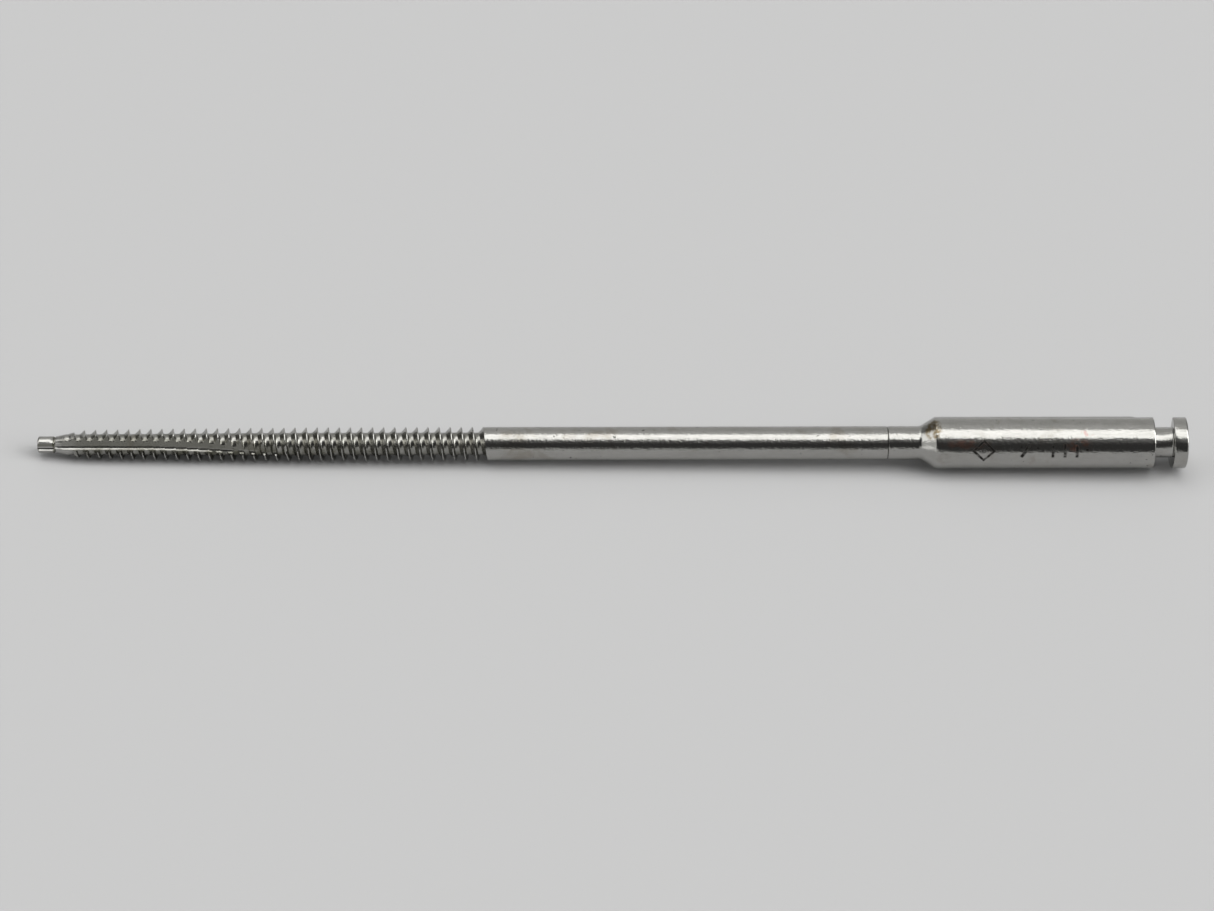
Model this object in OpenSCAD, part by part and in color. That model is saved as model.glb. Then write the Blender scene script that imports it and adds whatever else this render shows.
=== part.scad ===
// Thread-cutting tap for small bone screws, with a latch-type shank for a
// right-angle handpiece. Two pieces of hardened stainless steel: a ground rod that
// carries the pilot, the thread and the flutes, and a turned coupling shank that the
// rod's tang is pressed into.
// Lengths are in millimetres and angles in degrees. The tool's axis is X. The tip
// points to -X and the latch end to +X. The origin is on the axis, at the front edge
// of the full-width barrel.

/* [Shank] */
// Outside diameter of the barrel that the handpiece grips
barrel_d = 2.35; // [2.33:0.005:2.36]
// Length of the barrel from its front edge to the latch neck
barrel_len = 9.83; // [8:0.01:12]
// Diameter at the bottom of the latch neck
neck_d = 1.38; // [1.3:0.01:1.6]
// Length of the latch neck
neck_len = 0.85; // [0.7:0.01:1]
// Thickness of the disc behind the latch neck
disc_len = 0.63; // [0.5:0.01:0.8]
// Chamfer on the edges of the disc
disc_edge = 0.05; // [0.02:0.01:0.1]
// Distance of the driving flat from the axis
flat_offset = 0.56; // [0.5:0.01:0.7]
// Length of the driving flat, measured from the end face
flat_len = 2.32; // [2.2:0.01:2.8]
// Length of the cone in front of the barrel
cone_len = 0.67; // [0.5:0.01:1]
// Length of the slim nose in front of the cone
nose_len = 1.46; // [1:0.01:2]

/* [Rod] */
// Diameter of the plain rod and of the shank's nose
rod_d = 1.52; // [1.5:0.01:1.56]
// Length of the plain rod, from the thread's run-out to the joint line
rod_len = 17.83; // [12:0.01:22]
// Bevel on both sides of the joint line
joint_bevel = 0.035; // [0.02:0.005:0.05]
// Diameter of the tang inside the shank
tang_d = 1; // [0.8:0.02:1.1]
// Length of the tang
tang_len = 6; // [4:0.5:8]

/* [Thread] */
// Distance from one crest to the next
pitch = 0.5; // [0.48:0.01:0.52]
// Number of turns of full thread
turns = 35; // [30:1:38]
// Crest diameter of the first full thread
front_crest_d = 1.3; // [1.26:0.01:1.36]
// Diameter at the bottom of the thread
root_d = 1.02; // [0.98:0.01:1.08]
// Amount by which the thread's bottom is slimmer at the tip
root_taper = 0.08; // [0.04:0.01:0.1]

/* [Flutes] */
// Distance from the tip at which the flutes have run out
flute_len = 10.8; // [9.5:0.1:12]
// Angle of the cutting faces at the tip, about the axis
flute_start = 167; // [150:1:180]
// Angle that the flutes wind through over their length
flute_wind = 11.5; // [0:0.5:14]

/* [Pilot] */
// Diameter of the pilot at the tip
pilot_d = 0.77; // [0.74:0.01:0.79]
// Length of the pilot
pilot_len = 0.73; // [0.6:0.01:0.8]
// Depth of the ring groove behind the pilot
ring_depth = 0.04; // [0.02:0.005:0.05]
// Angle by which the pilot's three nicks are turned against the cutting faces
nick_turn = 12; // [0:1:16]

/* [Hidden] */

// Distances measured from the tip
ring_len = 0.1;
cone_start = pilot_len + ring_len;
first_crest = cone_start + 1.265;
taper_end = 11.5;
run_out_turns = 1.8;
thread_end = first_crest + pitch * (turns + run_out_turns);
joint_line = thread_end + rod_len;
tip_x = -(joint_line + nose_len + cone_len);

cone_start_r = 0.378;
nick_r = 0.3;
full_crest_r = rod_d / 2 - 0.003;
flute_count = 3;
flute_angle = 99;
columns = 7;
per_turn = columns * flute_count;

// One pitch of the thread, starting at a crest: where each corner is along the axis,
// counted in pitches from the crest's middle, and how deep it is, with 1 at the root.
// The flank that faces the shank is steep and the one that faces the tip is gentle.
corner_at = [-0.05, 0.04, 0.12, 0.51, 0.68];
corner_depth = [0, 0, 1, 1, 0.73];
corners = len(corner_at);

first_angle = flute_start - 960;
rows = round((turns + 0.75 + (45 - first_angle) / 360) * per_turn);
fade_rows = 5;

function mix(a, b, t) = a + (b - a) * t;
function clamp01(t) = min(1, max(0, t));
function ease(a, b, v) = let (t = clamp01((v - a) / (b - a))) t * t * (3 - 2 * t);

// Crest radius: the lead cone, then a slow taper up to the rod's own diameter
function lead_r(s) =
    mix(cone_start_r, front_crest_d / 2, (s - cone_start) / (first_crest - cone_start));
function body_r(s) =
    s < first_crest ? front_crest_d / 2
    : mix(front_crest_d / 2, full_crest_r, sin(90 * clamp01((s - first_crest) / (taper_end - first_crest))));
function root_r(s) = root_d / 2 - root_taper / 2 * (1 - ease(first_crest, taper_end, s));

// Flutes: a radial cutting face and a flat back that meet at a corner. The corner
// climbs out of the rod towards the flutes' end.
function flute_climb(past) = 0.039 * (sqrt(past * past + 0.49) + past);
function flute_corner_r(s) = 0.33 + 0.007 * s + flute_climb(s - flute_len + 2.95);
function flute_r(s, away) = flute_corner_r(s) * sin(180 - flute_angle) / sin(flute_angle - away);
function flute_width(s, r) =
    flute_angle - asin(min(1, flute_corner_r(s) * sin(180 - flute_angle) / r));
function wind(s) = flute_wind * ease(0.44 * flute_len, 0.83 * flute_len, s);

// Where the lines of the surface lie about the axis, between one cutting face and the
// next: the land first, then the flute's back, and the flute's corner last.
function crest_line(s) =
    mix(max(24, flute_width(s, body_r(s))), 360 / per_turn * 3, ease(flute_len, flute_len + 1.5, s));
function root_line(s) =
    mix(min(crest_line(s) - 8, max(12, flute_width(s, root_r(s)))), 360 / per_turn * 2,
        ease(flute_len, flute_len + 1.5, s));
function corner_line(s) = mix(0.6, 360 / per_turn, ease(flute_len, flute_len + 1.5, s));
function line_offset(c, s) =
    let (step = 360 / flute_count)
    c < 5 ? (step - crest_line(s)) * c / 4
    : c == 5 ? step - root_line(s)
    : step - corner_line(s);

function crest_s(angle) = first_crest + pitch * (angle - 45) / 360;
function row_s(k) = crest_s(first_angle + 360 * k / per_turn) + pitch / 2;
function row_angle(k) =
    first_angle + 360 / flute_count * floor(k / columns) + line_offset(k % columns, row_s(k)) + wind(row_s(k));
function row_depth(k) = min(1, k / fade_rows, (rows - k) / fade_rows);

function plain_r(s, depth, share) =
    min(s < first_crest ? lead_r(s) : body_r(s),
        body_r(s) - depth * share * (body_r(s) - root_r(s)));
function cut_r(k, s) =
    k % columns == 5 ? flute_r(s, root_line(row_s(k)))
    : k % columns == 6 ? flute_r(s, corner_line(row_s(k)))
    : k % columns == 4 ? flute_r(s, crest_line(row_s(k)))
    : 10;
function surface_r(k, s, share) = min(plain_r(s, row_depth(k), share), s < flute_len ? cut_r(k, s) : 10);
function around(s, r, angle) = [s, r * cos(angle), r * sin(angle)];
function thread_point(k, j) =
    let (angle = row_angle(k), s = crest_s(angle) + pitch * corner_at[j])
    around(s, surface_r(k, s, corner_depth[j]), angle);

// Numbers of the points, row by row: corner number `corners` of a row is corner 0 of
// the same line one turn later, and the last turn's are points of their own.
function id(k, j) =
    j < corners ? k * corners + j
    : k + per_turn <= rows ? (k + per_turn) * corners
    : (rows + 1) * corners + k + per_turn - rows - 1;

front_ring = (rows + 1) * corners + per_turn;
rear_ring = front_ring + per_turn;
front_hub = rear_ring + per_turn;
rear_hub = front_hub + 1;
front_s = cone_start - 0.005;
rear_s = thread_end + 0.04;

module threaded_part() {
    last_edge = [
        for (k = [rows - per_turn + 1 : rows])
            let (angle = row_angle(k), s = crest_s(angle) + pitch * (1 + corner_at[0]))
            around(s, full_crest_r, angle)
    ];
    points = concat(
        [for (k = [0 : rows], j = [0 : corners - 1]) thread_point(k, j)],
        last_edge,
        [for (k = [0 : per_turn - 1])
            around(front_s, min(cone_start_r - 0.008, cut_r(k, front_s)), row_angle(k))],
        [for (k = [rows - per_turn + 1 : rows]) around(rear_s, full_crest_r, row_angle(k))],
        [[front_s, 0, 0], [rear_s, 0, 0]]
    );
    n = per_turn;
    a = n - 1;
    b = rows - n + 1;
    faces = concat(
        [for (k = [0 : rows - 1], j = [0 : corners - 1]) [id(k, j), id(k, j + 1), id(k + 1, j + 1)]],
        [for (k = [0 : rows - 1], j = [0 : corners - 1]) [id(k, j), id(k + 1, j + 1), id(k + 1, j)]],
        [for (c = [0 : n - 2]) [front_ring + c, id(c, 0), id(c + 1, 0)]],
        [for (c = [0 : n - 2]) [front_ring + c, id(c + 1, 0), front_ring + c + 1]],
        [for (j = [corners : -1 : 1]) [id(a, 0), id(0, j), id(0, j - 1)]],
        [[id(a, 0), id(0, 0), front_ring], [id(a, 0), front_ring, front_ring + a]],
        [for (c = [0 : n - 1]) [front_hub, front_ring + c, front_ring + (c + 1) % n]],
        [for (k = [b : rows - 1]) [id(k, corners), rear_ring + k - b, rear_ring + k - b + 1]],
        [for (k = [b : rows - 1]) [id(k, corners), rear_ring + k - b + 1, id(k + 1, corners)]],
        [for (j = [0 : corners - 1]) [id(b, corners), id(rows, j), id(rows, j + 1)]],
        [[id(b, corners), id(rows, corners), rear_ring + n - 1],
         [id(b, corners), rear_ring + n - 1, rear_ring]],
        [for (c = [0 : n - 1]) [rear_hub, rear_ring + (c + 1) % n, rear_ring + c]]
    );
    polyhedron(points = points, faces = faces, convexity = 10);
}

// A turned solid: the profile's first coordinate runs along the axis from the tip
module turned(profile) {
    rotate([90, 0, 90])
        rotate_extrude($fn = 96)
            polygon([for (p = profile) [p[1], p[0]]]);
}

module pilot() {
    r = pilot_d / 2;
    difference() {
        turned([
            [0, 0], [0, r - 0.06], [0.06, r], [pilot_len, r],
            [pilot_len + 0.03, r - ring_depth], [pilot_len + ring_len - 0.03, r - ring_depth],
            [cone_start, cone_start_r], [cone_start, 0.3], [cone_start + 0.3, 0.3],
            [cone_start + 0.3, 0]
        ]);
        for (i = [0 : flute_count - 1])
            rotate([flute_start + nick_turn + 360 / flute_count * i, 0, 0])
                translate([-0.1, 0, 0])
                    rotate([90, 0, 90])
                        linear_extrude(height = pilot_len + 0.1)
                            polygon([
                                [nick_r, 0], [0.6, 0],
                                [nick_r - 0.5 * cos(flute_angle), -0.5 * sin(flute_angle)]
                            ]);
    }
}

module plain_rod() {
    r = rod_d / 2;
    turned([
        [thread_end, 0], [thread_end, r], [joint_line - joint_bevel, r], [joint_line, r - joint_bevel],
        [joint_line, tang_d / 2], [joint_line + tang_len - 0.1, tang_d / 2],
        [joint_line + tang_len, tang_d / 2 - 0.1], [joint_line + tang_len, 0]
    ]);
}

module tap_rod() {
    color([0.66, 0.67, 0.68])
        translate([tip_x, 0, 0])
            union() {
                threaded_part();
                pilot();
                plain_rod();
            }
}

module shank_body() {
    r = barrel_d / 2;
    nose_x = -cone_len - nose_len;
    rear = barrel_len + neck_len + disc_len;
    turned([
        [nose_x, 0], [nose_x, rod_d / 2 - joint_bevel], [nose_x + joint_bevel, rod_d / 2],
        [-cone_len, rod_d / 2], [0, r],
        [barrel_len - disc_edge, r], [barrel_len, r - disc_edge], [barrel_len, neck_d / 2],
        [barrel_len + neck_len, neck_d / 2], [barrel_len + neck_len, r - disc_edge],
        [barrel_len + neck_len + disc_edge, r], [rear - disc_edge, r], [rear, r - disc_edge], [rear, 0]
    ]);
}

// Blind hole for the tang, with the cone that a drill leaves at its end
module tang_hole() {
    nose_x = -cone_len - nose_len;
    hole_r = tang_d / 2 + 0.004;
    turned([
        [nose_x - 1, 0], [nose_x - 1, hole_r], [nose_x + tang_len + 0.1, hole_r],
        [nose_x + tang_len + 0.1 + hole_r * 0.6, 0]
    ]);
}

// The driving flat with the short slope where the cutter leaves the barrel
module driving_flat_cut() {
    rear = barrel_len + neck_len + disc_len;
    start = rear - flat_len;
    translate([0, 0, -barrel_d])
        linear_extrude(height = 2 * barrel_d)
            polygon([
                [start, flat_offset], [rear + 1, flat_offset], [rear + 1, barrel_d],
                [start - 0.5, barrel_d], [start - 0.25, barrel_d / 2]
            ]);
}

module latch_shank() {
    color([0.72, 0.72, 0.71])
        difference() {
            shank_body();
            tang_hole();
            driving_flat_cut();
        }
}

tap_rod();
latch_shank();
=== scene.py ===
"""Thread-cutting tap for small bone screws on a latch-type handpiece shank.

The tool lies on a pale bench. Its axis is X, with the tip towards -X. The ground rod
and the turned shank are surfaces worked out with numpy, in the same frame as the solid
parts that they stand for. Lengths are written in millimetres and become metres when a
mesh is made.
"""
import math

import bpy
import numpy as np
from mathutils import Matrix, Vector


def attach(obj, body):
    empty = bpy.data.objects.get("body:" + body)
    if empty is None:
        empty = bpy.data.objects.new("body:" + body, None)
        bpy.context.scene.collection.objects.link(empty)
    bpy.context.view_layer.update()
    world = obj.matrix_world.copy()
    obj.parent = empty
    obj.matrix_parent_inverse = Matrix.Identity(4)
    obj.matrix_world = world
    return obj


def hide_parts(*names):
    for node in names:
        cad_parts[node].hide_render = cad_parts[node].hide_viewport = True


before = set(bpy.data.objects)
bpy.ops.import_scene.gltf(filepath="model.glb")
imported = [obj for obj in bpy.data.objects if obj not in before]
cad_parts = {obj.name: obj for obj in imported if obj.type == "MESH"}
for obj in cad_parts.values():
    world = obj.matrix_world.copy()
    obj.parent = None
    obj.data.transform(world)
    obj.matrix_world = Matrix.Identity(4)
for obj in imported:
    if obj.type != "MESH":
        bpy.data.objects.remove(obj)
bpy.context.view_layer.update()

MM = 0.001

# ---------------------------------------------------------------- sizes of the tool
BARREL_R = 1.175
BARREL_LEN = 9.83
NECK_R = 0.69
NECK_LEN = 0.85
DISC_LEN = 0.63
FLAT_OFFSET = 0.56
FLAT_LEN = 2.32
FLAT_RAMP = 0.25
CONE_LEN = 0.67
NOSE_LEN = 1.46
ROD_R = 0.76
ROD_LEN = 17.83
JOINT_BEVEL = 0.035
TANG_R = 0.5
TANG_LEN = 6.0

PITCH = 0.5
TURNS = 35
PILOT_R = 0.385
PILOT_LEN = 0.73
RING_LEN = 0.10
RING_DEPTH = 0.04
CONE_START = PILOT_LEN + RING_LEN
CONE_START_R = 0.378
FIRST_CREST = CONE_START + 1.265
FRONT_CREST_R = 0.65
FULL_CREST_R = ROD_R - 0.003
TAPER_END = 11.5
ROOT_R = 0.51
ROOT_TAPER = 0.04
FLUTE_LEN = 10.8
FLUTE_START = 167.0
FLUTE_WIND = 11.5
FLUTE_ANGLE = 99.0
FLUTE_FILLET = 0.17
FLUTE_CORNER_R = 0.33
FLUTE_CORNER_RISE = 0.007
FLUTE_CORNER_DROP = 0.05
FLUTE_CLIMB = 0.039
FLUTE_CLIMB_BEND = 0.7
FLUTE_CLIMB_LEN = 2.95
PILOT_NICK_TURN = 12.0
THREAD_END = FIRST_CREST + PITCH * (TURNS + 1.8)
UNCUT = 10.0
JOINT_LINE = THREAD_END + ROD_LEN
TIP_X = -(JOINT_LINE + NOSE_LEN + CONE_LEN)

# ---------------------------------------------------------------- small functions


def ease(low, high, value):
    """Smooth step: 3t^2 - 2t^3, where t runs from 0 at low to 1 at high."""
    t = np.clip((value - low) / (high - low), 0.0, 1.0)
    return t * t * (3.0 - 2.0 * t)


def sind(angle):
    return np.sin(np.radians(angle))


def cosd(angle):
    return np.cos(np.radians(angle))


def make_mesh(name, points_mm, triangles, smooth_angle=30.0, **masks):
    """Puts arrays of points, in millimetres, and of triangles into a new object.

    Each mask is one number a point, and becomes an attribute that a material can read.
    """
    mesh = bpy.data.meshes.new(name)
    mesh.vertices.add(len(points_mm))
    mesh.vertices.foreach_set("co", (points_mm * MM).astype(np.float32).ravel())
    mesh.loops.add(3 * len(triangles))
    mesh.loops.foreach_set("vertex_index", triangles.astype(np.int32).ravel())
    mesh.polygons.add(len(triangles))
    mesh.polygons.foreach_set("loop_start", np.arange(0, 3 * len(triangles), 3, dtype=np.int32))
    mesh.polygons.foreach_set("use_smooth", np.ones(len(triangles), dtype=bool))
    mesh.update(calc_edges=True)
    mesh.validate()
    mesh.set_sharp_from_angle(angle=math.radians(smooth_angle))
    for label, values in masks.items():
        mask = mesh.attributes.new(label, "FLOAT", "POINT")
        mask.data.foreach_set("value", values.astype(np.float32))
    piece = bpy.data.objects.new(name, mesh)
    bpy.context.scene.collection.objects.link(piece)
    return piece


# ---------------------------------------------------------------- the ground rod
LAND_STEPS = 12
BACK_STEPS = 6
FLOOR_STEPS = 4
FILLET_STEPS = 6
BACK_FROM = LAND_STEPS
FLOOR_FROM = BACK_FROM + BACK_STEPS
FILLET_FROM = FLOOR_FROM + FLOOR_STEPS
PER_FLUTE = FILLET_FROM + FILLET_STEPS + 1
PER_TURN = 3 * PER_FLUTE
FIRST_ANGLE = FLUTE_START - 8 * 120.0
FIRST_CREST_ANGLE = 45.0
ROWS = int(round((TURNS + 0.75 + (FIRST_CREST_ANGLE - FIRST_ANGLE) / 360.0) * PER_TURN))
FADE_ROWS = 17


def thread_profile():
    """One pitch of the thread: position in pitches, and depth with 1 at the root.

    A narrow crest, a steep flank that faces the shank with a fillet at its foot, a
    nearly flat root, and a gentle hollow flank 1 - t^1.45 that rises to the next crest.
    """
    rise = np.linspace(0.10, 0.93, 9)
    position = np.concatenate([
        [-0.05, -0.005, 0.03, 0.045, 0.075, 0.10, 0.13, 0.18, 0.24, 0.36, 0.46, 0.505],
        0.50 + 0.45 * rise,
    ])
    depth = np.concatenate([
        [0.0, 0.0, 0.0, 0.08, 0.55, 0.80, 0.90, 0.97, 1.0, 1.0, 0.99, 0.965],
        1.0 - rise ** 1.45,
    ])
    return position, depth


def body_r(s):
    """Crest radius: rises as a quarter sine from the first crest to the rod's radius."""
    t = np.clip((s - FIRST_CREST) / (TAPER_END - FIRST_CREST), 0.0, 1.0)
    return FRONT_CREST_R + (FULL_CREST_R - FRONT_CREST_R) * np.sin(0.5 * np.pi * t)


def lead_r(s):
    """Lead cone: a straight line from the pilot up to the first full crest."""
    rise = FRONT_CREST_R - CONE_START_R
    return CONE_START_R + rise * (s - CONE_START) / (FIRST_CREST - CONE_START)


def root_r(s):
    """Radius at the thread's root: a little slimmer towards the tip."""
    return ROOT_R - ROOT_TAPER * (1.0 - ease(FIRST_CREST, TAPER_END, s))


def flute_corner_r(s):
    """Distance of a flute's corner from the axis.

    It rises slowly, then climbs out on a hyperbola c (sqrt(p^2 + b^2) + p), where p is
    how far s is past the climb's start and b is the bend. It is a little less in front
    of the lead cone.
    """
    past = s - FLUTE_LEN + FLUTE_CLIMB_LEN
    climb = FLUTE_CLIMB * (np.sqrt(past * past + FLUTE_CLIMB_BEND ** 2) + past)
    drop = FLUTE_CORNER_DROP * (1.0 - ease(PILOT_LEN, CONE_START + 0.1, s))
    return FLUTE_CORNER_R + FLUTE_CORNER_RISE * s + climb - drop


def flute_r(s, away):
    """Radius of a flute's flat back, at an angle away from its corner (sine rule)."""
    return flute_corner_r(s) * sind(180.0 - FLUTE_ANGLE) / sind(FLUTE_ANGLE - away)


def flute_width(s, radius):
    """Angle from a flute's corner to where its flat back reaches the radius."""
    ratio = np.minimum(1.0, flute_corner_r(s) * sind(180.0 - FLUTE_ANGLE) / radius)
    return FLUTE_ANGLE - np.degrees(np.arcsin(ratio))


def fillet_point(s, sweep):
    """Radius and angle from the rake face of a point on the fillet in a flute's corner.

    The fillet's circle touches the rake face and the flat back, so its centre is
    FLUTE_FILLET from both. The sweep runs from 0 at the rake face.
    """
    reach = FLUTE_FILLET / math.tan(math.radians(FLUTE_ANGLE / 2.0))
    outward = flute_corner_r(s) + reach - FLUTE_FILLET * sind(sweep)
    across = FLUTE_FILLET * (1.0 - cosd(sweep))
    return np.hypot(outward, across), np.degrees(np.arctan2(across, outward))


def fillet_sweep(column):
    """Sweep along the fillet: the whole turn at its first line, 0 at its last."""
    share = np.clip((column - FILLET_FROM) / FILLET_STEPS, 0.0, 1.0)
    return (180.0 - FLUTE_ANGLE) * (1.0 - share)


def flute_lines(s):
    """How far the crest line, root line and fillet's edge lie before the next rake face."""
    edge = fillet_point(s, 180.0 - FLUTE_ANGLE)[1]
    root = np.maximum(edge + 4.0, flute_width(s, root_r(s)))
    crest = np.maximum(root + 8.0, flute_width(s, body_r(s)))
    return crest, root, edge


def line_offset(column, s):
    """Angle from a rake face to each line: land, flute's back, floor, fillet.

    The lines follow the flute's edges, and spread out evenly once it has run out.
    """
    crest, root, edge = flute_lines(s)
    land = 120.0 - (120.0 - crest) * column / LAND_STEPS
    back = crest - (crest - root) * (column - BACK_FROM) / BACK_STEPS
    floor = root - (root - edge) * (column - FLOOR_FROM) / FLOOR_STEPS
    fillet = np.maximum(fillet_point(s, fillet_sweep(column))[1], 0.3)
    away = np.where(column < FILLET_FROM, floor, fillet)
    away = np.where(column < FLOOR_FROM, back, away)
    away = np.where(column < BACK_FROM, land, away)
    even = 120.0 * column / PER_FLUTE
    return 120.0 - away + (even - 120.0 + away) * ease(FLUTE_LEN, FLUTE_LEN + 1.5, s)


def crest_s(angle):
    """Distance from the tip of the crest's helix at an angle about the axis."""
    return FIRST_CREST + PITCH * (angle - FIRST_CREST_ANGLE) / 360.0


def row_angle(row):
    """Angle about the axis of each line of the helix, in degrees."""
    s = crest_s(FIRST_ANGLE + 360.0 * row / PER_TURN) + PITCH / 2.0
    wind = FLUTE_WIND * ease(0.44 * FLUTE_LEN, 0.83 * FLUTE_LEN, s)
    return FIRST_ANGLE + 120.0 * (row // PER_FLUTE) + line_offset(row % PER_FLUTE, s) + wind


def cut_r(row, s):
    """Radius left by the flutes along each line; the land is not cut."""
    line_s = crest_s(FIRST_ANGLE + 360.0 * row / PER_TURN) + PITCH / 2.0
    column = row % PER_FLUTE
    away = 120.0 - line_offset(column, line_s)
    flat = flute_r(s, np.minimum(away, FLUTE_ANGLE - 5.0))
    fillet = fillet_point(s, fillet_sweep(column))[0]
    cut = np.where(column >= FILLET_FROM, fillet, flat)
    return np.where((column >= BACK_FROM) & (s < FLUTE_LEN + 1.0), cut, UNCUT)


def around(s, radius, angle):
    """Points at a distance s from the tip, on a circle about the tool's axis."""
    s, radius, angle = np.broadcast_arrays(s, radius, angle)
    points = np.stack([TIP_X + s, radius * cosd(angle), radius * sind(angle)], axis=-1)
    return points.reshape(-1, 3)


def quads(a, b, c, d):
    """Two triangles for each quad a-b-c-d."""
    first = np.stack([a, b, c], axis=-1).reshape(-1, 3)
    second = np.stack([a, c, d], axis=-1).reshape(-1, 3)
    return np.concatenate([first, second])


def ring_bands(starts, count):
    """Triangles between neighbouring rings, each of which has count points."""
    c = np.arange(count)
    n = (c + 1) % count
    low = np.asarray(starts[:-1])[:, None]
    high = np.asarray(starts[1:])[:, None]
    return quads(low + c, low + n, high + n, high + c)


def ground_rod():
    """Pilot, lead cone, thread with three flutes, plain rod and tang, as one surface.

    The threaded part is a sheet on two parameters: the row k turns about the axis as
    the helix does, and the corner j runs across one pitch. Corner J of row k is corner
    0 of row k + one turn. The radius is the smaller of the thread's and the flute's.
    Plain rings continue the sheet at both ends. The attribute flute_back marks the
    flutes' flat backs and, twice as strongly, the flats of the pilot's nicks.
    """
    position, depth = thread_profile()
    corners = len(position)
    rows = np.arange(ROWS + 1)
    angle = row_angle(rows)
    fade = np.clip(np.minimum(rows, ROWS - rows) / FADE_ROWS, 0.0, 1.0)
    s = crest_s(angle)[:, None] + PITCH * position[None, :]
    body = body_r(s)
    limit = np.where(s < FIRST_CREST, lead_r(s), body)
    radius = body - fade[:, None] * depth[None, :] * (body - root_r(s))
    radius = np.minimum(np.minimum(limit, radius), cut_r(rows[:, None], s))
    sheet = around(s, radius, angle[:, None])

    last = np.arange(ROWS - PER_TURN + 1, ROWS + 1)
    last_s = crest_s(angle[last]) + PITCH * (1.0 + position[0])
    last_edge = around(last_s, FULL_CREST_R, angle[last])

    def number(k, j):
        """Index of corner j of row k, where the last corner belongs to a later row."""
        own = np.where(j < corners, k * corners + j, (k + PER_TURN) * corners)
        after = (ROWS + 1) * corners + k + PER_TURN - ROWS - 1
        return np.where((j >= corners) & (k + PER_TURN > ROWS), after, own)

    k, j = np.meshgrid(rows[:-1], np.arange(corners), indexing="ij")
    triangles = [quads(number(k, j), number(k + 1, j), number(k + 1, j + 1), number(k, j + 1))]

    # Rings in front: nose, pilot, ring groove and the start of the lead cone
    front = np.array([
        [0.0, PILOT_R - 0.075], [0.012, PILOT_R - 0.045], [0.035, PILOT_R - 0.02],
        [0.075, PILOT_R - 0.004], [0.12, PILOT_R], [0.3, PILOT_R], [0.42, PILOT_R],
        [0.55, PILOT_R], [PILOT_LEN - 0.01, PILOT_R], [PILOT_LEN, PILOT_R - 0.006],
        [PILOT_LEN + 0.03, PILOT_R - RING_DEPTH], [PILOT_LEN + 0.07, PILOT_R - RING_DEPTH],
        [CONE_START - 0.005, CONE_START_R - 0.004],
    ])
    first = np.arange(PER_TURN)
    front_s = front[:, :1]
    front_r = np.minimum(front[:, 1:], cut_r(first[None, :], front_s))
    nick_turn = PILOT_NICK_TURN * (1.0 - ease(PILOT_LEN, CONE_START, front_s))
    front_points = around(front_s, front_r, angle[first][None, :] + nick_turn)
    # Rings behind: the plain rod, the bevel of the joint line and the tang
    back = np.array([
        [THREAD_END + 0.04, ROD_R], [THREAD_END + 6.0, ROD_R], [THREAD_END + 12.0, ROD_R],
        [JOINT_LINE - JOINT_BEVEL, ROD_R], [JOINT_LINE - 0.004, ROD_R - JOINT_BEVEL],
        [JOINT_LINE - 0.002, TANG_R], [JOINT_LINE + TANG_LEN - 0.1, TANG_R],
        [JOINT_LINE + TANG_LEN, TANG_R - 0.1],
    ])
    back_points = around(back[:, :1], back[:, 1:], angle[last][None, :])
    hubs = np.array([[TIP_X, 0.0, 0.0], [TIP_X + JOINT_LINE + TANG_LEN, 0.0, 0.0]])
    points = np.concatenate([sheet, last_edge, front_points, back_points, hubs])

    front_first = len(sheet) + len(last_edge)
    back_first = front_first + len(front_points)
    front_starts = front_first + PER_TURN * np.arange(len(front))
    back_starts = back_first + PER_TURN * np.arange(len(back))
    front_hub = len(points) - 2
    back_hub = len(points) - 1
    triangles.append(ring_bands(front_starts, PER_TURN))
    triangles.append(ring_bands(back_starts, PER_TURN))

    # The sheet's front edge joins the last front ring; one fan closes the helix's step
    c = np.arange(PER_TURN - 1)
    ring = front_starts[-1]
    triangles.append(quads(ring + c, ring + c + 1, number(c + 1, 0), number(c, 0)))
    a = PER_TURN - 1
    steps = np.arange(corners, 0, -1)
    near = np.full(corners, number(a, 0))
    triangles.append(np.stack([near, number(np.zeros(corners, int), steps - 1),
                               number(np.zeros(corners, int), steps)], axis=-1))
    triangles.append(np.array([[near[0], ring, number(0, 0)], [near[0], ring + a, ring]]))

    # The sheet's back edge joins the first back ring in the same way
    b = ROWS - PER_TURN + 1
    k = np.arange(b, ROWS)
    ring = back_starts[0]
    triangles.append(quads(
        number(k, corners), number(k + 1, corners), ring + k - b + 1, ring + k - b))
    steps = np.arange(corners)
    near = np.full(corners, number(b, corners))
    triangles.append(np.stack([near, number(np.full(corners, ROWS), steps + 1),
                               number(np.full(corners, ROWS), steps)], axis=-1))
    triangles.append(np.array([
        [near[0], ring + PER_TURN - 1, number(ROWS, corners)],
        [near[0], ring, ring + PER_TURN - 1]]))

    # A fan of triangles closes each end
    c = np.arange(PER_TURN)
    n = (c + 1) % PER_TURN
    nose = np.full(PER_TURN, front_hub)
    tail = np.full(PER_TURN, back_hub)
    triangles.append(np.stack([nose, front_starts[0] + n, front_starts[0] + c], axis=-1))
    triangles.append(np.stack([tail, back_starts[-1] + c, back_starts[-1] + n], axis=-1))

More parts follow.
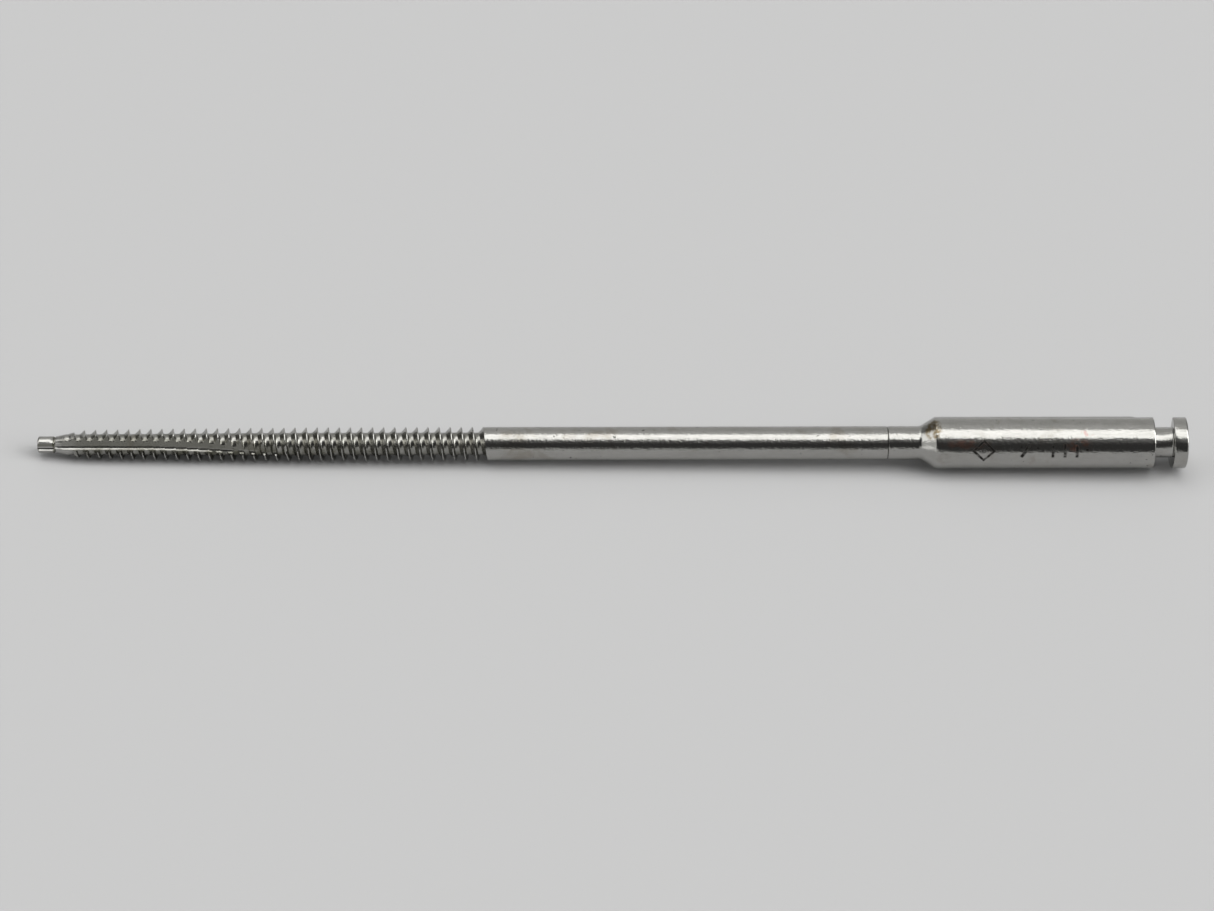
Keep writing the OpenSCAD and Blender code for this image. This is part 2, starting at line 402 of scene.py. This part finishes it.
    column = rows % PER_FLUTE
    on_back = (column > BACK_FROM) & (column <= FILLET_FROM)
    on_back = on_back[:, None] & (s < FLUTE_LEN) & (cut_r(rows[:, None], s) < body - 0.02)
    flute_back = np.zeros(len(points))
    flute_back[:len(sheet)] = on_back.ravel()
    in_nick = (front_r < front[:, 1:] - 0.004) & (front_s <= PILOT_LEN)
    column = first % PER_FLUTE
    in_nick = in_nick & ((column > BACK_FROM) & (column < FILLET_FROM))[None, :]
    flute_back[front_first:back_first] = 2.0 * in_nick.ravel()
    return make_mesh("tap_rod_ground", points, np.concatenate(triangles), 32.0, flute_back=flute_back)


# ---------------------------------------------------------------- the turned shank


def rounded(corner_x, corner_r, towards_x, towards_r, from_x, from_r, size, steps=4):
    """A small round at a profile's corner: a quadratic curve between its two sides."""
    before = np.array([corner_x, corner_r]) + size * np.array([from_x, from_r])
    after = np.array([corner_x, corner_r]) + size * np.array([towards_x, towards_r])
    corner = np.array([corner_x, corner_r])
    t = np.linspace(0.0, 1.0, steps + 1)[:, None]
    return (1 - t) ** 2 * before + 2 * t * (1 - t) * corner + t ** 2 * after


def shank_profile():
    """Outline of the shank from the joint line to the end face, as (x, radius)."""
    nose = -CONE_LEN - NOSE_LEN
    rear = BARREL_LEN + NECK_LEN + DISC_LEN
    slope = np.array([CONE_LEN, BARREL_R - ROD_R])
    slope = slope / np.linalg.norm(slope)
    round_size = 0.06
    disc_round = 0.09
    ramp = np.linspace(rear - FLAT_LEN - FLAT_RAMP, rear - FLAT_LEN, 9)
    parts = [
        [[nose + TANG_LEN + 0.1, TANG_R + 0.004], [nose, TANG_R + 0.004]],
        [[nose + 0.001, ROD_R - JOINT_BEVEL], [nose + JOINT_BEVEL, ROD_R - 0.002],
         [nose + JOINT_BEVEL + 0.02, ROD_R]],
        rounded(-CONE_LEN, ROD_R, slope[0], slope[1], -1, 0, 0.10, 6),
        rounded(0.0, BARREL_R, 1, 0, -slope[0], -slope[1], 0.05),
        [[1.0, BARREL_R], [3.0, BARREL_R], [6.0, BARREL_R]],
        np.stack([ramp, np.full(len(ramp), BARREL_R)], 1),
        rounded(BARREL_LEN, BARREL_R, 0, -1, -1, 0, round_size),
        rounded(BARREL_LEN, NECK_R, 1, 0, 0, 1, round_size),
        rounded(BARREL_LEN + NECK_LEN, NECK_R, 0, 1, -1, 0, round_size),
        rounded(BARREL_LEN + NECK_LEN, BARREL_R, 1, 0, 0, -1, round_size),
        rounded(rear, BARREL_R, 0, -1, -1, 0, disc_round, 5),
        [[rear, 0.6], [rear, 0.3]],
    ]
    return np.concatenate([np.asarray(part, float) for part in parts])


def turned_shank():
    """The shank: its outline turned about the axis, then cut to the driving flat.

    The radius is the smaller of the outline's and h / cos(angle), where h is the
    flat's distance from the axis and the angle is counted from the flat's normal.
    """
    profile = shank_profile()
    edge = np.degrees(np.arccos(FLAT_OFFSET / BARREL_R))
    turn = np.linspace(0.0, 360.0, 192, endpoint=False)
    turn = np.unique(np.concatenate([turn, [edge, 360.0 - edge]]))
    x = profile[:, :1]
    rear = BARREL_LEN + NECK_LEN + DISC_LEN
    ramp = np.clip((x - (rear - FLAT_LEN - FLAT_RAMP)) / FLAT_RAMP, 0.0, 1.0)
    height = np.where(ramp > 0.0, BARREL_R + (FLAT_OFFSET - BARREL_R) * ramp, UNCUT)
    facing = np.maximum(cosd(turn)[None, :], 0.001)
    radius = np.minimum(profile[:, 1:], height / facing)
    points = np.stack(np.broadcast_arrays(x, radius * cosd(turn), radius * sind(turn)), axis=-1)
    points = points.reshape(-1, 3)
    count = len(turn)
    starts = count * np.arange(len(profile))
    hubs = np.array([[profile[0, 0] + 0.3, 0.0, 0.0], [rear, 0.0, 0.0]])
    points = np.concatenate([points, hubs])
    c = np.arange(count)
    n = (c + 1) % count
    hub = np.full(count, len(points) - 2)
    triangles = np.concatenate([
        ring_bands(starts, count),
        np.stack([hub, n, c], axis=-1),
        np.stack([hub + 1, starts[-1] + c, starts[-1] + n], axis=-1),
    ])
    return make_mesh("latch_shank_turned", points, triangles, 28.0)


# ---------------------------------------------------------------- material helpers


class Tree:
    """Short names for adding and joining shader nodes."""

    def __init__(self, tree):
        self.tree = tree

    def node(self, kind, **settings):
        node = self.tree.nodes.new(kind)
        for key, value in settings.items():
            setattr(node, key, value)
        return node

    def link(self, source, target):
        self.tree.links.new(source, target)

    def feed(self, socket, value):
        if isinstance(value, bpy.types.NodeSocket):
            self.link(value, socket)
        else:
            socket.default_value = value

    def math(self, operation, a, b=0.0, c=0.0, clamp=False):
        node = self.node("ShaderNodeMath", operation=operation, use_clamp=clamp)
        for socket, value in zip(node.inputs, (a, b, c)):
            self.feed(socket, value)
        return node.outputs[0]

    def band(self, value, low, high, out_low=0.0, out_high=1.0):
        """Smooth step from out_low at low to out_high at high."""
        node = self.node("ShaderNodeMapRange", interpolation_type="SMOOTHSTEP")
        for name, entry in (("Value", value), ("From Min", low), ("From Max", high),
                            ("To Min", out_low), ("To Max", out_high)):
            self.feed(node.inputs[name], entry)
        return node.outputs["Result"]

    def noise(self, vector, scale, detail=4.0, roughness=0.55, distortion=0.0):
        node = self.node("ShaderNodeTexNoise")
        self.feed(node.inputs["Vector"], vector)
        node.inputs["Scale"].default_value = scale
        node.inputs["Detail"].default_value = detail
        node.inputs["Roughness"].default_value = roughness
        node.inputs["Distortion"].default_value = distortion
        return node.outputs["Fac"]

    def mix(self, factor, a, b):
        node = self.node("ShaderNodeMix", data_type="RGBA")
        self.feed(node.inputs["Factor"], factor)
        self.feed(node.inputs[6], a)
        self.feed(node.inputs[7], b)
        return node.outputs[2]

    def stretch(self, vector, scale, turn=(0.0, 0.0, 0.0)):
        node = self.node("ShaderNodeMapping")
        self.feed(node.inputs["Vector"], vector)
        node.inputs["Scale"].default_value = scale
        node.inputs["Rotation"].default_value = turn
        return node.outputs["Vector"]

    def times(self, a, b):
        return self.math("MULTIPLY", a, b)

    def plus(self, a, b):
        return self.math("ADD", a, b)

    def minus(self, a, b):
        return self.math("SUBTRACT", a, b)

    def length(self, a, b):
        """Length of the diagonal of a rectangle with the sides a and b."""
        return self.math("SQRT", self.plus(self.times(a, a), self.times(b, b)))

    def spot(self, u, v, centre, radii, soft=0.3):
        """Soft oval mask: 1 inside, falling to 0 at the radii."""
        across = self.times(self.minus(u, centre[0]), 1.0 / radii[0])
        along = self.times(self.minus(v, centre[1]), 1.0 / radii[1])
        return self.band(self.length(across, along), soft, 1.0, 1.0, 0.0)


# ---------------------------------------------------------------- light
PANEL_FRONT = (69.4, 72.9)
PANEL_BACK = (108.3, 112.8)
PANEL_SKEW = 68.0
PANEL_LEVEL = 2.35
PANEL_SEAM = 87.5
RIGHT_PANEL_GAIN = 2.2
PANEL_REACH = 26.0
BACK_LEVEL = 0.60
NEAR_BACK_LEVEL = 0.16
LOW_BACK_LEVEL = 0.3
DARK_LEVEL = 0.06
GLOW_LEVEL = 0.20
HORIZON_LEVEL = 0.60
RIGHT_LEVEL = 1.3
LEFT_LEVEL = 0.75
STUDIO_WHITE = (1.0, 1.0, 0.985, 1.0)


def sky():
    """Soft studio light: a long bright panel overhead, dark in front, grey behind.

    The brightness depends on the direction's angle about the tool's axis, counted from
    the front horizon over the top. The panel lies a little askew to the tool, so the
    angle is shifted by the direction's X part. Both ends have a fill light in front, and
    the panel reaches further forward there. To the right the panel is brighter and the
    back darker, and to the left both are dimmer.
    """
    world = bpy.data.worlds.new("studio")
    bpy.context.scene.world = world
    world.use_nodes = True
    world.node_tree.nodes.clear()
    t = Tree(world.node_tree)
    coordinates = t.node("ShaderNodeTexCoord")
    split = t.node("ShaderNodeSeparateXYZ")
    t.link(coordinates.outputs["Generated"], split.inputs[0])
    x = split.outputs["X"]
    turn = t.math("ARCTAN2", split.outputs["Z"], t.times(split.outputs["Y"], -1.0))
    skew = t.times(t.math("MAXIMUM", t.math("MINIMUM", x, 0.13), -0.15), PANEL_SKEW)
    degrees = t.plus(t.times(turn, 180.0 / math.pi), skew)
    wider = t.times(t.band(t.math("ABSOLUTE", x), 0.62, 0.80), PANEL_REACH)
    panel_front = t.band(t.plus(degrees, wider), *PANEL_FRONT)
    panel_back = t.band(degrees, *PANEL_BACK)
    panel = t.times(panel_front, t.minus(1.0, panel_back))
    seam = t.band(t.math("ABSOLUTE", t.minus(degrees, PANEL_SEAM)), 1.0, 6.0, 0.88, 1.0)
    panel = t.times(panel, seam)
    glow = t.times(t.band(degrees, 44.0, 66.0), GLOW_LEVEL)
    horizon = t.times(t.band(degrees, 3.0, 14.0, 1.0, 0.0), HORIZON_LEVEL)
    short_of_end = t.band(x, 0.82, 0.95, 1.0, 0.25)
    right = t.times(t.times(t.band(x, 0.58, 0.82), short_of_end), RIGHT_LEVEL)
    left = t.times(t.band(x, -0.80, -0.50, 1.0, 0.0), LEFT_LEVEL)
    front = t.plus(t.plus(glow, horizon), t.plus(t.plus(left, right), DARK_LEVEL))
    front = t.times(front, t.minus(1.0, panel_back))
    near_back = t.times(t.band(degrees, 128.0, 145.0, 1.0, 0.0), NEAR_BACK_LEVEL)
    low_back = t.times(t.band(degrees, 176.0, 190.0), LOW_BACK_LEVEL)
    back = t.times(panel_back, t.plus(BACK_LEVEL, t.plus(near_back, low_back)))
    to_right = t.times(t.band(x, 0.3, 0.6), short_of_end)
    to_left = t.band(x, -0.58, -0.22, 0.62, 0.0)
    panel = t.times(panel, t.plus(PANEL_LEVEL, t.times(to_right, RIGHT_PANEL_GAIN)))
    back = t.times(back, t.minus(1.0, t.times(to_right, 0.65)))
    above = t.times(t.plus(back, panel), t.minus(1.0, to_left))
    level = t.plus(front, above)
    background = t.node("ShaderNodeBackground")
    background.inputs["Color"].default_value = STUDIO_WHITE
    t.link(level, background.inputs["Strength"])
    output = t.node("ShaderNodeOutputWorld")
    t.link(background.outputs[0], output.inputs["Surface"])


# ---------------------------------------------------------------- steel
RING_SCALE = (19000.0, 700.0, 700.0)
STROKE_SCALE = (2800.0, 12500.0, 12500.0)
RIPPLE_SCALE = (6800.0, 6200.0, 6200.0)
SLOW_SCALE = (900.0, 1800.0, 1800.0)
HAIR_SCALE = (600.0, 4800.0, 4800.0)
HAIR_TURN = (0.5, 0.9, 0.3)
SCRATCH_DEPTH = 0.05
RELIEF = 0.000008
STEEL = (0.385, 0.380, 0.365, 1.0)
STEEL_DULL = (0.335, 0.332, 0.315, 1.0)
STAIN_BROWN = (0.17, 0.135, 0.085, 1.0)
# Dark olive of the thread's residue; the same colour also paints shade on the thread's lower side and a
# shadow in the ring groove.
RESIDUE_AND_SHADE = (0.085, 0.083, 0.058, 1.0)
SPECK_DARK = (0.035, 0.032, 0.028, 1.0)
MARK_DARK = (0.030, 0.028, 0.026, 1.0)
PINK_TINT = (0.36, 0.17, 0.15, 1.0)
RUST = (0.33, 0.15, 0.10, 1.0)


def new_group(name, inputs, outputs):
    """A shader node group: its tree, its input node and its output node."""
    tree = bpy.data.node_groups.new(name, "ShaderNodeTree")
    tree.interface.new_socket("Place", in_out="INPUT", socket_type="NodeSocketVector")
    for label, value in inputs:
        socket = tree.interface.new_socket(label, in_out="INPUT", socket_type="NodeSocketFloat")
        socket.default_value = value
    for label in outputs:
        tree.interface.new_socket(label, in_out="OUTPUT", socket_type="NodeSocketFloat")
    t = Tree(tree)
    return t, t.node("NodeGroupInput"), t.node("NodeGroupOutput")


def machining_group():
    """Tool marks: turning rings, strokes along the tool, and a broad ripple.

    Rings are noise squeezed along X, strokes are noise stretched along X, and the
    ripple is even. Height is their weighted sum, and Polish varies slowly.
    """
    t, source, sink = new_group(
        "machining", (("Rings", 1.0), ("Strokes", 1.0), ("Ripple", 1.0)), ("Height", "Polish"))
    place = source.outputs["Place"]
    rings = t.noise(t.stretch(place, RING_SCALE), 1.0, 2.0)
    strokes = t.noise(t.stretch(place, STROKE_SCALE), 1.0, 3.0)
    ripple = t.noise(t.stretch(place, RIPPLE_SCALE), 1.0, 2.0)
    height = t.plus(t.times(rings, source.outputs["Rings"]), t.times(strokes, source.outputs["Strokes"]))
    height = t.plus(height, t.times(ripple, source.outputs["Ripple"]))
    slow = t.noise(t.stretch(place, SLOW_SCALE), 1.0, 4.0)
    polish = t.plus(t.times(slow, 0.6), t.times(strokes, 0.4))
    t.link(height, sink.inputs["Height"])
    t.link(polish, sink.inputs["Polish"])
    return t.tree


def handling_group():
    """What use leaves on the steel: stain blotches, dark specks and hair scratches.

    Stain and Speck are the high parts of two noises. Scratch is where a long thin noise
    crosses its middle value, broken up by a second noise.
    """
    t, source, sink = new_group("handling", (), ("Stain", "Speck", "Scratch"))
    place = source.outputs["Place"]
    blotch = t.noise(place, 620.0, 5.0, 0.6, 0.4)
    fleck = t.noise(place, 5200.0, 2.0)
    cluster = t.noise(place, 700.0, 2.0)
    hair = t.noise(t.stretch(place, HAIR_SCALE, HAIR_TURN), 1.0, 1.0)
    apart = t.math("ABSOLUTE", t.minus(hair, 0.5))
    broken = t.band(t.noise(place, 1500.0, 2.0), 0.52, 0.62)
    t.link(t.band(blotch, 0.54, 0.72), sink.inputs["Stain"])
    t.link(t.times(t.band(fleck, 0.66, 0.74), t.band(cluster, 0.5, 0.62)), sink.inputs["Speck"])
    t.link(t.times(t.band(apart, 0.004, 0.016, 1.0, 0.0), broken), sink.inputs["Scratch"])
    return t.tree


class Steel:
    """A brushed steel material under construction: its nodes and its common inputs."""

    def __init__(self, name, groups, rings, strokes, ripple):
        self.material = bpy.data.materials.new(name)
        self.material.use_nodes = True
        self.material.node_tree.nodes.clear()
        self.t = Tree(self.material.node_tree)
        self.place = self.t.node("ShaderNodeTexCoord").outputs["Object"]
        split = self.t.node("ShaderNodeSeparateXYZ")
        self.t.link(self.place, split.inputs[0])
        self.x = self.t.times(split.outputs["X"], 1000.0)
        self.y = self.t.times(split.outputs["Y"], 1000.0)
        self.z = self.t.times(split.outputs["Z"], 1000.0)
        self.radius = self.t.length(self.y, self.z)
        self.marks = self.t.node("ShaderNodeGroup", node_tree=groups["machining"])
        self.use = self.t.node("ShaderNodeGroup", node_tree=groups["handling"])
        for node in (self.marks, self.use):
            self.t.link(self.place, node.inputs["Place"])
        for label, value in (("Rings", rings), ("Strokes", strokes), ("Ripple", ripple)):
            self.marks.inputs[label].default_value = value

    def finish(self, colour, roughness, relief):
        """Joins the colour, roughness and relief height to a metallic shader."""
        t = self.t
        shader = t.node("ShaderNodeBsdfPrincipled")
        t.link(colour, shader.inputs["Base Color"])
        t.link(roughness, shader.inputs["Roughness"])
        shader.inputs["Metallic"].default_value = 1.0
        bump = t.node("ShaderNodeBump")
        bump.inputs["Strength"].default_value = 1.0
        bump.inputs["Distance"].default_value = RELIEF
        t.link(relief, bump.inputs["Height"])
        t.link(bump.outputs[0], shader.inputs["Normal"])
        output = t.node("ShaderNodeOutputMaterial")
        t.link(shader.outputs[0], output.inputs["Surface"])
        return self.material


def ground_steel(groups):
    """Ground rod: strokes along it, specks, dark residue and painted shade.

    Residue lies in the thread's grooves and is darker the deeper they are, which is
    partly painted shade. The flutes' flat backs and the pilot's nick flats are darkened
    as well. Painted shade lies on the thread's lower side, and a painted shadow in the
    ring groove behind the pilot.
    """
    steel = Steel("ground_steel_rod", groups, 0.30, 0.75, 0.85)
    t = steel.t
    # Darker the deeper the thread's groove: residue there, partly painted shade.
    groove = t.band(steel.radius, 0.55, 0.745, 1.0, 0.0)
    threaded = t.times(
        t.band(steel.x, TIP_X + 1.2, TIP_X + 2.4),
        t.band(steel.x, TIP_X + THREAD_END - 0.7, TIP_X + THREAD_END, 1.0, 0.0))
    patch = t.band(t.noise(steel.place, 2400.0, 4.0), 0.35, 0.65, 0.35, 1.0)
    # The flutes' flat backs and the pilot's nick flats are darkened as well.
    flute_back = t.node("ShaderNodeAttribute", attribute_name="flute_back").outputs["Fac"]
    residue_and_shade = t.times(t.times(groove, threaded), patch)
    residue_and_shade = t.math("MINIMUM", t.plus(residue_and_shade, t.times(flute_back, 0.8)), 1.2)
    # Painted shade on the thread's lower front side, which faces down towards the bench.
    shade_below_thread = t.band(t.plus(steel.y, steel.z), -0.55, -0.22, 1.0, 0.0)
    shade_below_thread = t.times(t.times(shade_below_thread, t.band(steel.x, TIP_X + 1.4, TIP_X + 2.0)), patch)
    shade_below_thread = t.times(shade_below_thread, t.band(steel.x, TIP_X + 11.0, TIP_X + THREAD_END, 0.8, 0.3))
    shade_below_thread = t.times(shade_below_thread, t.band(steel.radius, 0.62, 0.72, 1.0, 0.0))
    # Painted shadow: a dark ring in the groove between the pilot and the lead cone.
    from_collar = t.math("ABSOLUTE", t.minus(steel.x, TIP_X + PILOT_LEN + 0.02))
    ring_groove_shadow = t.band(from_collar, 0.03, 0.09, 1.0, 0.0)
    residue_and_shade = t.plus(residue_and_shade, t.plus(shade_below_thread, t.times(ring_groove_shadow, 1.3)))
    colour = t.mix(t.band(steel.marks.outputs["Polish"], 0.3, 0.7), STEEL, STEEL_DULL)
    colour = t.mix(t.times(steel.use.outputs["Stain"], 0.35), colour, STAIN_BROWN)
    # Mixes in the dark residue colour, which here also paints the shade and the shadow above.
    colour = t.mix(t.times(residue_and_shade, 0.5), colour, RESIDUE_AND_SHADE)
    colour = t.mix(steel.use.outputs["Speck"], colour, SPECK_DARK)
    rough = t.band(steel.marks.outputs["Polish"], 0.25, 0.75, 0.11, 0.17)
    rough = t.plus(rough, t.times(residue_and_shade, 0.10))
    relief = t.minus(steel.marks.outputs["Height"], t.times(steel.use.outputs["Scratch"], SCRATCH_DEPTH))
    return steel.finish(colour, rough, relief)


SHOULDER_STAIN = (-0.12, 0.70)
MIDDLE_RUST = (6.35, -0.15)
FRONT_RUST = (1.3, -0.10)
PINK_STROKE = (6.7, 0.42)
MARK_LOZENGE = (2.12, -0.39)
MARK_REACH = 0.46
MARK_STROKE = (3.99, -0.39)
MARK_BARS = (5.22, 5.76, 6.30)
MARK_DOT = (6.75, -0.34)


def barrel_marks(t, u, v):
    """Generic marks: a lozenge with a dot, a slanted stroke, three bars and a dot.

    u runs along the barrel and v round it. The lozenge's line is where the sum of the
    two distances from its centre is MARK_REACH.
    """
    beside = t.math("ABSOLUTE", t.minus(u, MARK_LOZENGE[0]))
    above = t.math("ABSOLUTE", t.minus(v, MARK_LOZENGE[1]))
    outward = t.plus(beside, above)
    lozenge = t.band(t.math("ABSOLUTE", t.minus(outward, MARK_REACH)), 0.05, 0.11, 1.0, 0.0)
    lozenge = t.plus(lozenge, t.band(t.length(beside, above), 0.07, 0.13, 1.0, 0.0))
    du = t.minus(u, MARK_STROKE[0])
    dv = t.minus(v, MARK_STROKE[1])
    lean = math.radians(58.0)
    along = t.plus(t.times(du, math.cos(lean)), t.times(dv, math.sin(lean)))
    across = t.minus(t.times(dv, math.cos(lean)), t.times(du, math.sin(lean)))
    stroke = t.times(
        t.band(t.math("ABSOLUTE", along), 0.33, 0.39, 1.0, 0.0),
        t.band(t.math("ABSOLUTE", across), 0.05, 0.10, 1.0, 0.0))
    tall = t.band(t.math("ABSOLUTE", t.minus(v, MARK_LOZENGE[1])), 0.30, 0.36, 1.0, 0.0)
    bars = t.spot(u, v, MARK_DOT, (0.10, 0.10), 0.5)
    for place in MARK_BARS:
        bar = t.band(t.math("ABSOLUTE", t.minus(u, place)), 0.04, 0.09, 1.0, 0.0)
        bars = t.plus(bars, t.times(bar, tall))
    return t.math("MINIMUM", t.plus(t.plus(lozenge, stroke), bars), 1.0)


def turned_steel(groups):
    """Turned shank: marks and rusty patches on the barrel, a stain at the shoulder.

    The angle about the axis, counted from the middle of the marked side, times the
    barrel's radius gives v, the distance round the barrel.
    """
    steel = Steel("turned_steel_shank", groups, 0.25, 0.65, 1.05)
    t = steel.t
    up = t.plus(steel.y, steel.z)
    out = t.minus(steel.z, steel.y)
    v = t.times(t.math("ARCTAN2", up, out), BARREL_R)
    on_barrel = t.band(steel.radius, BARREL_R - 0.06, BARREL_R - 0.03)
    ink = t.times(barrel_marks(t, steel.x, v), on_barrel)
    worn = t.band(t.noise(steel.place, 5200.0, 3.0), 0.30, 0.55, 0.45, 1.0)
    ink = t.times(ink, worn)
    colour = t.mix(t.band(steel.marks.outputs["Polish"], 0.3, 0.7), STEEL, STEEL_DULL)
    shoulder = t.spot(steel.x, v, SHOULDER_STAIN, (0.45, 0.70), 0.6)
    middle = t.spot(steel.x, v, MIDDLE_RUST, (0.8, 0.40))
    front = t.spot(steel.x, v, FRONT_RUST, (1.4, 0.30))
    broken = t.band(t.noise(steel.place, 3300.0, 4.0), 0.38, 0.60)
    stain = t.plus(t.times(steel.use.outputs["Stain"], 0.3), shoulder)
    stain = t.times(stain, broken)
    rust = t.times(t.plus(t.times(middle, 0.9), t.times(front, 0.7)), broken)
    colour = t.mix(t.math("MINIMUM", stain, 1.0), colour, STAIN_BROWN)
    colour = t.mix(t.math("MINIMUM", rust, 1.0), colour, RUST)
    tint = t.spot(steel.x, v, PINK_STROKE, (0.5, 0.20))
    tint = t.times(tint, t.band(t.noise(steel.place, 3800.0, 3.0), 0.5, 0.62))
    colour = t.mix(t.times(tint, 0.4), colour, PINK_TINT)
    colour = t.mix(steel.use.outputs["Speck"], colour, SPECK_DARK)
    colour = t.mix(ink, colour, MARK_DARK)
    rough = t.band(steel.marks.outputs["Polish"], 0.25, 0.75, 0.09, 0.14)
    rough = t.plus(rough, t.plus(t.times(ink, 0.3), t.times(stain, 0.08)))
    rough = t.plus(rough, t.times(rust, 0.16))
    in_neck = t.times(t.band(steel.radius, 0.74, 0.80, 1.0, 0.0), t.band(steel.x, 9.7, 9.8))
    rough = t.plus(rough, t.times(in_neck, 0.05))
    relief = t.minus(steel.marks.outputs["Height"], t.times(steel.use.outputs["Scratch"], SCRATCH_DEPTH))
    return steel.finish(colour, rough, relief)


# ---------------------------------------------------------------- bench
BENCH_COLOUR = (0.452, 0.452, 0.458, 1.0)
BENCH_SIZE = 600.0
BENCH_GAP = 0.004


def bench():
    """Pale floor that touches the shank's shoulder and the first full crest."""
    contact = TIP_X + FIRST_CREST
    slope = (BARREL_R - FRONT_CREST_R) / -contact
    x = BENCH_SIZE * np.array([-1.0, 1.0, 1.0, -1.0])
    y = BENCH_SIZE * np.array([-1.0, -1.0, 1.0, 1.0])
    z = -BARREL_R - slope * x - BENCH_GAP
    floor = make_mesh("bench", np.stack([x, y, z], 1), np.array([[0, 1, 2], [0, 2, 3]]))
    material = bpy.data.materials.new("pale_bench")
    material.use_nodes = True
    shader = material.node_tree.nodes["Principled BSDF"]
    shader.inputs["Base Color"].default_value = BENCH_COLOUR
    shader.inputs["Roughness"].default_value = 0.8
    shader.inputs["Specular IOR Level"].default_value = 0.2
    floor.data.materials.append(material)


# ---------------------------------------------------------------- camera
CAMERA_HEIGHT_ANGLE = 45.0
CAMERA_DISTANCE = 160.71
CAMERA_ROLL = 0.12
AIM_FROM_TIP = 25.67
AIM_BELOW_AXIS = 0.542
HALF_VIEW = 9.675


def camera():
    """A level camera that looks down on the tool's side from the front."""
    towards = np.array([0.0, -cosd(CAMERA_HEIGHT_ANGLE), sind(CAMERA_HEIGHT_ANGLE)])
    upright = np.array([0.0, sind(CAMERA_HEIGHT_ANGLE), cosd(CAMERA_HEIGHT_ANGLE)])
    along = np.array([1.0, 0.0, 0.0])
    right = along * cosd(CAMERA_ROLL) - upright * sind(CAMERA_ROLL)
    up = upright * cosd(CAMERA_ROLL) + along * sind(CAMERA_ROLL)
    aim = np.array([TIP_X + AIM_FROM_TIP, 0.0, 0.0]) - AIM_BELOW_AXIS * upright
    place = (aim + CAMERA_DISTANCE * towards) * MM
    data = bpy.data.cameras.new("camera")
    data.sensor_width = 36.0
    data.lens = 18.0 / math.tan(math.radians(HALF_VIEW))
    data.clip_start = 0.005
    data.clip_end = 5.0
    eye = bpy.data.objects.new("camera", data)
    matrix = Matrix([Vector(right), Vector(up), Vector(towards)]).transposed().to_4x4()
    matrix.translation = Vector(place)
    eye.matrix_world = matrix
    bpy.context.scene.collection.objects.link(eye)
    bpy.context.scene.camera = eye


# ---------------------------------------------------------------- build
camera()
rod = ground_rod()
shank = turned_shank()
steel_groups = {"machining": machining_group(), "handling": handling_group()}
rod.data.materials.append(ground_steel(steel_groups))
shank.data.materials.append(turned_steel(steel_groups))
for piece, node, slot in ((rod, "tap_rod", "ground_steel"), (shank, "latch_shank", "turned_steel")):
    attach(piece, "root")
    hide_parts(node)
sky()
bench()
bpy.context.scene.view_settings.view_transform = "Standard"
